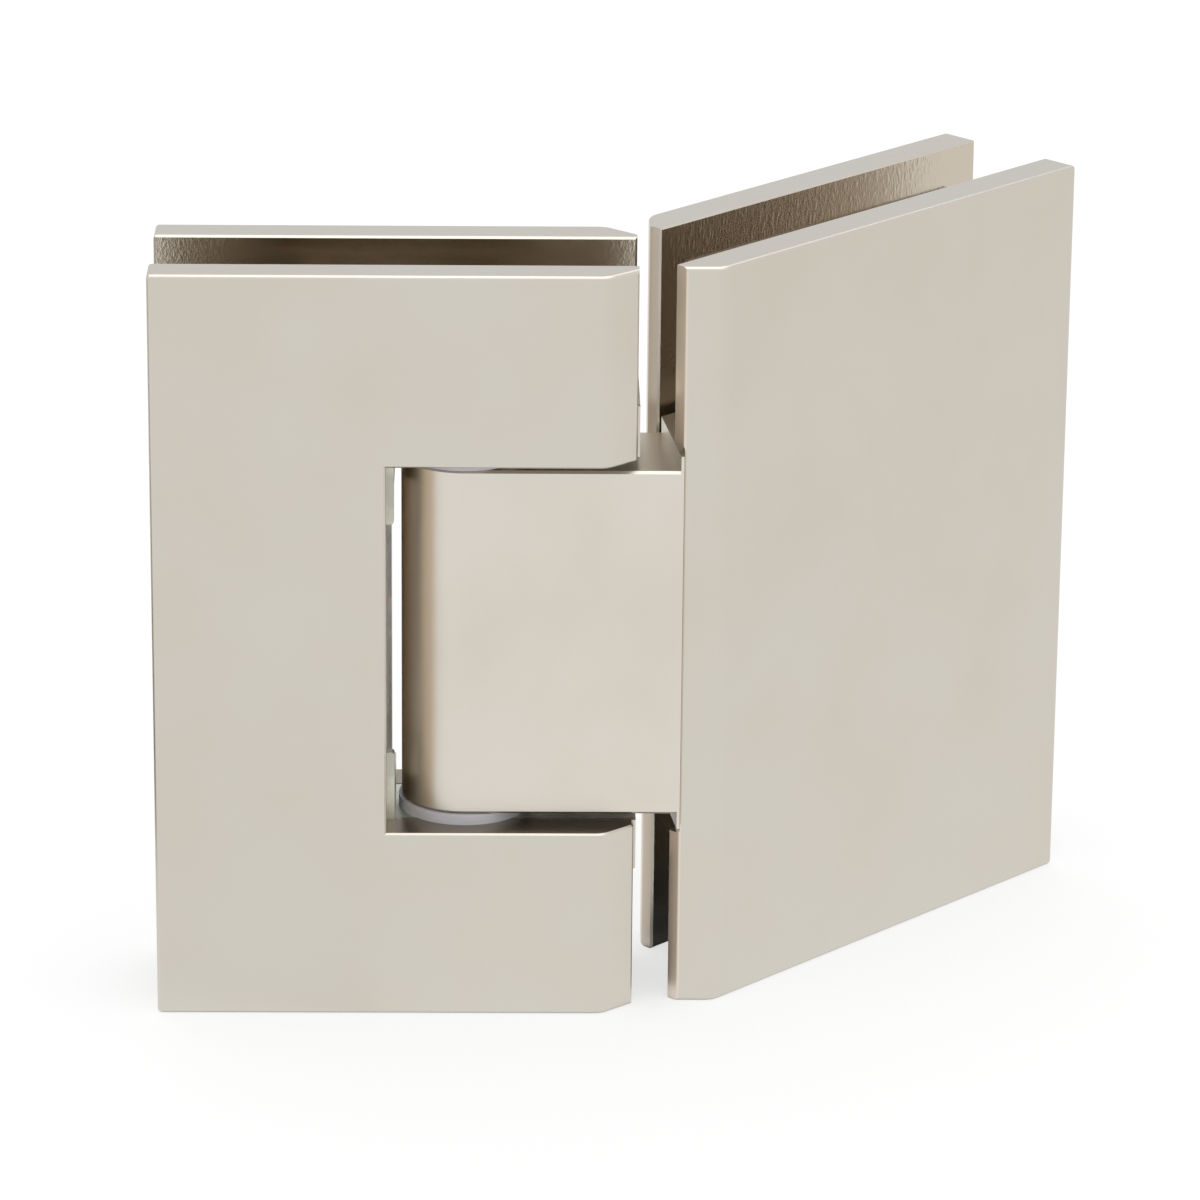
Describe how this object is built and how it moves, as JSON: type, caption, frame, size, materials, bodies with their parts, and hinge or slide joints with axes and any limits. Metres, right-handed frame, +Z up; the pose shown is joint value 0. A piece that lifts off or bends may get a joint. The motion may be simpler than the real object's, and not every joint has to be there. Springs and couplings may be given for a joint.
{
  "type": "shower door hinge",
  "caption": "Glass to glass shower door hinge for panes that meet at 135 degrees, with a round-nosed pivot block between two clamp leaves of bevelled plates.",
  "frame": {"origin": "on the pin's axis at mid height, in the middle plane of the door's glass", "axes": "+Z up along the pin's axis; the door leaf runs along -X with its front towards -Y; the fixed leaf turns 45 degrees away, towards +X and +Y"},
  "size_m": [0.1084, 0.062, 0.09],
  "materials": {
    "plated_brass": "satin nickel plate on cast brass",
    "gasket": "soft smoke-clear plastic sheet, pale at its cut edges",
    "nylon": "natural nylon",
    "steel": "turned stainless steel",
    "spring_steel": "rolled spring strip"
  },
  "bodies": {
    "fixed_leaf": {"pivot_block": "plated_brass", "fixed_front_plate": "plated_brass", "fixed_rear_plate": "plated_brass", "fixed_front_gasket": "gasket", "fixed_rear_gasket": "gasket", "upper_pin_bush": "nylon", "lower_pin_bush": "nylon", "upper_detent_spring": "spring_steel", "lower_detent_spring": "spring_steel", "spring_keeper": "steel", "fixed_clamp_screws": "steel", "tongue_screws": "steel"},
    "door_leaf": {"door_front_plate": "plated_brass", "door_rear_plate": "plated_brass", "door_front_gasket": "gasket", "door_rear_gasket": "gasket", "door_clamp_screws": "steel", "pivot_pin": "steel", "pin_set_screws": "steel", "upper_washer": "nylon", "lower_washer": "nylon"}
  },
  "joints": [
    {"name": "door_swing", "type": "hinge", "parent": "fixed_leaf", "child": "door_leaf", "pos_m": [0, 0, 0], "axis": [0, 0, 1], "range_deg": [-90, 90], "deforming": ["upper_detent_spring", "lower_detent_spring"]}
  ]
}
